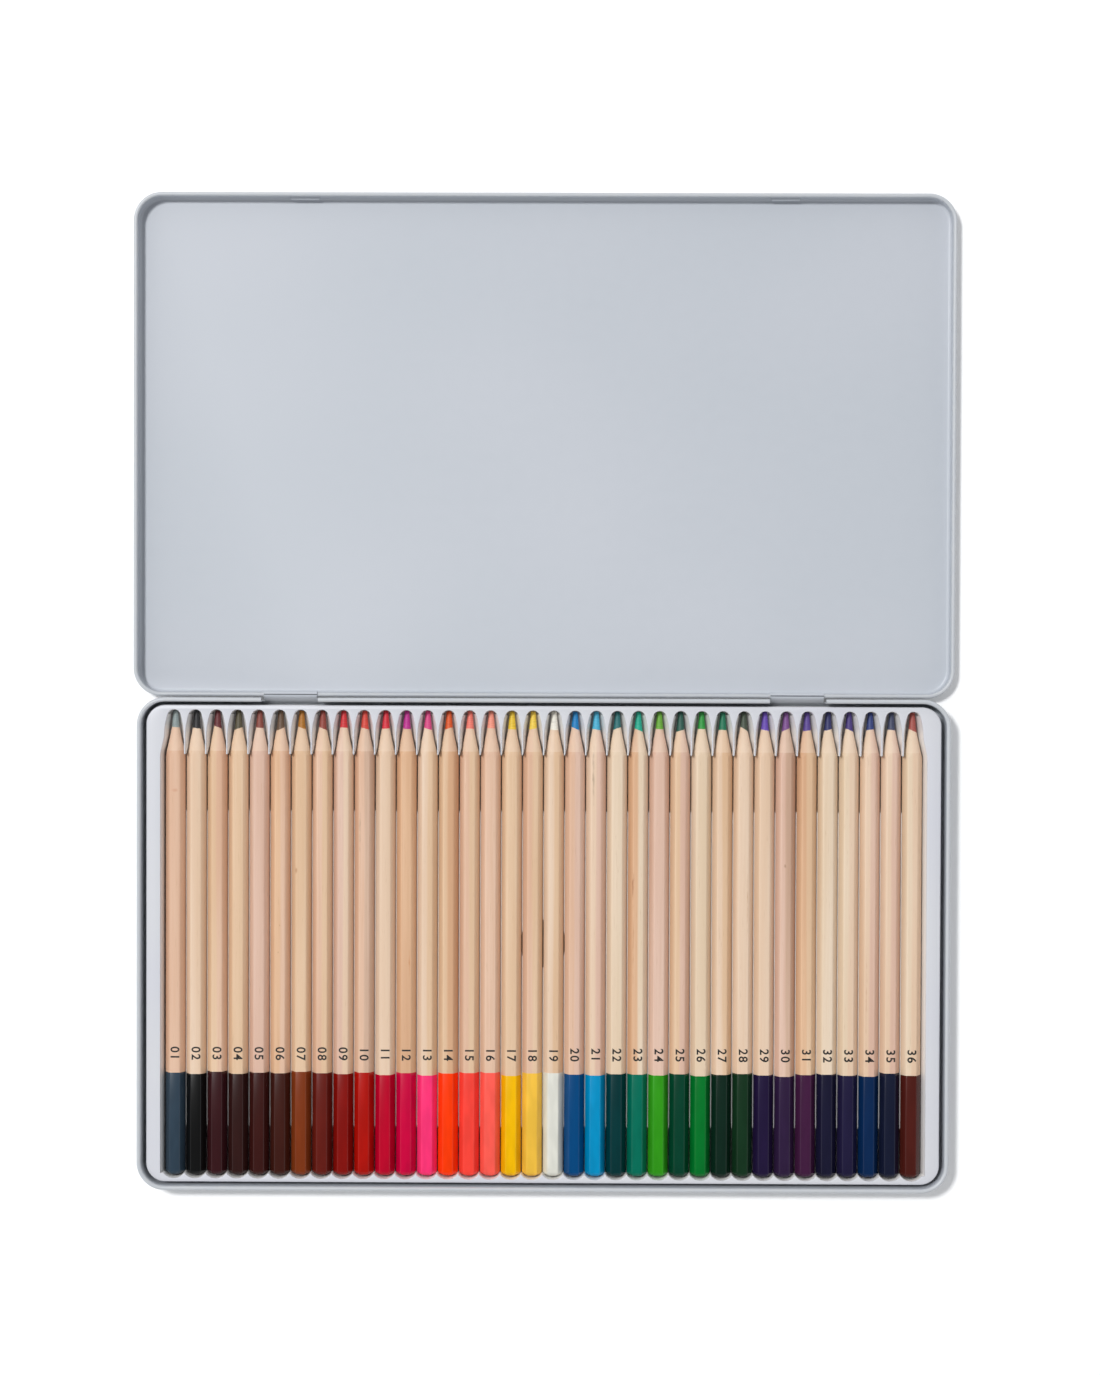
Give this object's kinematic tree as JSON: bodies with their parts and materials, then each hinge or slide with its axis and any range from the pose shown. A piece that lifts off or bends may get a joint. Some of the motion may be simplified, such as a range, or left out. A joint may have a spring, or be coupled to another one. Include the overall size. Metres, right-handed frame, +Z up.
{
  "type": "watercolor pencil set",
  "caption": "Hexagonal natural-wood watercolor pencils with dipped coloured ends, lying in a grooved white insert in a flat sheet-metal tin whose hinged lid lies open.",
  "frame": {"origin": "middle of the base tin's underside", "axes": "+X across the pencils to the right, +Y along the pencils from their dipped ends to their tips and on to the open lid, +Z up"},
  "size_m": [0.308, 0.374, 0.012],
  "materials": {
    "tin_enamel": "satin",
    "insert_plastic": "satin",
    "pencil_wood": "matte",
    "lacquer": "gloss",
    "pigment": "matte",
    "imprint": "satin"
  },
  "bodies": {
    "base": {"base_tin": "tin_enamel"},
    "lid": {"lid_tin": "tin_enamel"},
    "insert": {"insert_tray": "insert_plastic"},
    "loose_pencil_01": {"pencil_01": "pencil_wood"},
    "loose_pencil_02": {"pencil_02": "pencil_wood"},
    "loose_pencil_03": {"pencil_03": "pencil_wood"},
    "loose_pencil_04": {"pencil_04": "pencil_wood"},
    "loose_pencil_05": {"pencil_05": "pencil_wood"},
    "loose_pencil_06": {"pencil_06": "pencil_wood"},
    "loose_pencil_07": {"pencil_07": "pencil_wood"},
    "loose_pencil_08": {"pencil_08": "pencil_wood"},
    "loose_pencil_09": {"pencil_09": "pencil_wood"},
    "loose_pencil_10": {"pencil_10": "pencil_wood"},
    "loose_pencil_11": {"pencil_11": "pencil_wood"},
    "loose_pencil_12": {"pencil_12": "pencil_wood"},
    "loose_pencil_13": {"pencil_13": "pencil_wood"},
    "loose_pencil_14": {"pencil_14": "pencil_wood"},
    "loose_pencil_15": {"pencil_15": "pencil_wood"},
    "loose_pencil_16": {"pencil_16": "pencil_wood"},
    "loose_pencil_17": {"pencil_17": "pencil_wood"},
    "loose_pencil_18": {"pencil_18": "pencil_wood"},
    "loose_pencil_19": {"pencil_19": "pencil_wood"},
    "loose_pencil_20": {"pencil_20": "pencil_wood"},
    "loose_pencil_21": {"pencil_21": "pencil_wood"},
    "loose_pencil_22": {"pencil_22": "pencil_wood"},
    "loose_pencil_23": {"pencil_23": "pencil_wood"},
    "loose_pencil_24": {"pencil_24": "pencil_wood"},
    "loose_pencil_25": {"pencil_25": "pencil_wood"},
    "loose_pencil_26": {"pencil_26": "pencil_wood"},
    "loose_pencil_27": {"pencil_27": "pencil_wood"},
    "loose_pencil_28": {"pencil_28": "pencil_wood"},
    "loose_pencil_29": {"pencil_29": "pencil_wood"},
    "loose_pencil_30": {"pencil_30": "pencil_wood"},
    "loose_pencil_31": {"pencil_31": "pencil_wood"},
    "loose_pencil_32": {"pencil_32": "pencil_wood"},
    "loose_pencil_33": {"pencil_33": "pencil_wood"},
    "loose_pencil_34": {"pencil_34": "pencil_wood"},
    "loose_pencil_35": {"pencil_35": "pencil_wood"},
    "loose_pencil_36": {"pencil_36": "pencil_wood"}
  },
  "joints": [
    {"name": "lid_hinge", "type": "hinge", "parent": "base", "child": "lid", "pos_m": [0, 0.0936, 0.0063], "axis": [-1, 0, 0], "range_deg": [-180, 0]},
    {"name": "insert_lift", "type": "slide", "parent": "base", "child": "insert", "axis": [0, 0, 1], "range_m": [0, 0.025]},
    {"name": "pencil_01_lift", "type": "slide", "parent": "insert", "child": "loose_pencil_01", "axis": [0, 0, 1], "range_m": [0, 0.03]},
    {"name": "pencil_02_lift", "type": "slide", "parent": "insert", "child": "loose_pencil_02", "axis": [0, 0, 1], "range_m": [0, 0.03]},
    {"name": "pencil_03_lift", "type": "slide", "parent": "insert", "child": "loose_pencil_03", "axis": [0, 0, 1], "range_m": [0, 0.03]},
    {"name": "pencil_04_lift", "type": "slide", "parent": "insert", "child": "loose_pencil_04", "axis": [0, 0, 1], "range_m": [0, 0.03]},
    {"name": "pencil_05_lift", "type": "slide", "parent": "insert", "child": "loose_pencil_05", "axis": [0, 0, 1], "range_m": [0, 0.03]},
    {"name": "pencil_06_lift", "type": "slide", "parent": "insert", "child": "loose_pencil_06", "axis": [0, 0, 1], "range_m": [0, 0.03]},
    {"name": "pencil_07_lift", "type": "slide", "parent": "insert", "child": "loose_pencil_07", "axis": [0, 0, 1], "range_m": [0, 0.03]},
    {"name": "pencil_08_lift", "type": "slide", "parent": "insert", "child": "loose_pencil_08", "axis": [0, 0, 1], "range_m": [0, 0.03]},
    {"name": "pencil_09_lift", "type": "slide", "parent": "insert", "child": "loose_pencil_09", "axis": [0, 0, 1], "range_m": [0, 0.03]},
    {"name": "pencil_10_lift", "type": "slide", "parent": "insert", "child": "loose_pencil_10", "axis": [0, 0, 1], "range_m": [0, 0.03]},
    {"name": "pencil_11_lift", "type": "slide", "parent": "insert", "child": "loose_pencil_11", "axis": [0, 0, 1], "range_m": [0, 0.03]},
    {"name": "pencil_12_lift", "type": "slide", "parent": "insert", "child": "loose_pencil_12", "axis": [0, 0, 1], "range_m": [0, 0.03]},
    {"name": "pencil_13_lift", "type": "slide", "parent": "insert", "child": "loose_pencil_13", "axis": [0, 0, 1], "range_m": [0, 0.03]},
    {"name": "pencil_14_lift", "type": "slide", "parent": "insert", "child": "loose_pencil_14", "axis": [0, 0, 1], "range_m": [0, 0.03]},
    {"name": "pencil_15_lift", "type": "slide", "parent": "insert", "child": "loose_pencil_15", "axis": [0, 0, 1], "range_m": [0, 0.03]},
    {"name": "pencil_16_lift", "type": "slide", "parent": "insert", "child": "loose_pencil_16", "axis": [0, 0, 1], "range_m": [0, 0.03]},
    {"name": "pencil_17_lift", "type": "slide", "parent": "insert", "child": "loose_pencil_17", "axis": [0, 0, 1], "range_m": [0, 0.03]},
    {"name": "pencil_18_lift", "type": "slide", "parent": "insert", "child": "loose_pencil_18", "axis": [0, 0, 1], "range_m": [0, 0.03]},
    {"name": "pencil_19_lift", "type": "slide", "parent": "insert", "child": "loose_pencil_19", "axis": [0, 0, 1], "range_m": [0, 0.03]},
    {"name": "pencil_20_lift", "type": "slide", "parent": "insert", "child": "loose_pencil_20", "axis": [0, 0, 1], "range_m": [0, 0.03]},
    {"name": "pencil_21_lift", "type": "slide", "parent": "insert", "child": "loose_pencil_21", "axis": [0, 0, 1], "range_m": [0, 0.03]},
    {"name": "pencil_22_lift", "type": "slide", "parent": "insert", "child": "loose_pencil_22", "axis": [0, 0, 1], "range_m": [0, 0.03]},
    {"name": "pencil_23_lift", "type": "slide", "parent": "insert", "child": "loose_pencil_23", "axis": [0, 0, 1], "range_m": [0, 0.03]},
    {"name": "pencil_24_lift", "type": "slide", "parent": "insert", "child": "loose_pencil_24", "axis": [0, 0, 1], "range_m": [0, 0.03]},
    {"name": "pencil_25_lift", "type": "slide", "parent": "insert", "child": "loose_pencil_25", "axis": [0, 0, 1], "range_m": [0, 0.03]},
    {"name": "pencil_26_lift", "type": "slide", "parent": "insert", "child": "loose_pencil_26", "axis": [0, 0, 1], "range_m": [0, 0.03]},
    {"name": "pencil_27_lift", "type": "slide", "parent": "insert", "child": "loose_pencil_27", "axis": [0, 0, 1], "range_m": [0, 0.03]},
    {"name": "pencil_28_lift", "type": "slide", "parent": "insert", "child": "loose_pencil_28", "axis": [0, 0, 1], "range_m": [0, 0.03]},
    {"name": "pencil_29_lift", "type": "slide", "parent": "insert", "child": "loose_pencil_29", "axis": [0, 0, 1], "range_m": [0, 0.03]},
    {"name": "pencil_30_lift", "type": "slide", "parent": "insert", "child": "loose_pencil_30", "axis": [0, 0, 1], "range_m": [0, 0.03]},
    {"name": "pencil_31_lift", "type": "slide", "parent": "insert", "child": "loose_pencil_31", "axis": [0, 0, 1], "range_m": [0, 0.03]},
    {"name": "pencil_32_lift", "type": "slide", "parent": "insert", "child": "loose_pencil_32", "axis": [0, 0, 1], "range_m": [0, 0.03]},
    {"name": "pencil_33_lift", "type": "slide", "parent": "insert", "child": "loose_pencil_33", "axis": [0, 0, 1], "range_m": [0, 0.03]},
    {"name": "pencil_34_lift", "type": "slide", "parent": "insert", "child": "loose_pencil_34", "axis": [0, 0, 1], "range_m": [0, 0.03]},
    {"name": "pencil_35_lift", "type": "slide", "parent": "insert", "child": "loose_pencil_35", "axis": [0, 0, 1], "range_m": [0, 0.03]},
    {"name": "pencil_36_lift", "type": "slide", "parent": "insert", "child": "loose_pencil_36", "axis": [0, 0, 1], "range_m": [0, 0.03]}
  ]
}
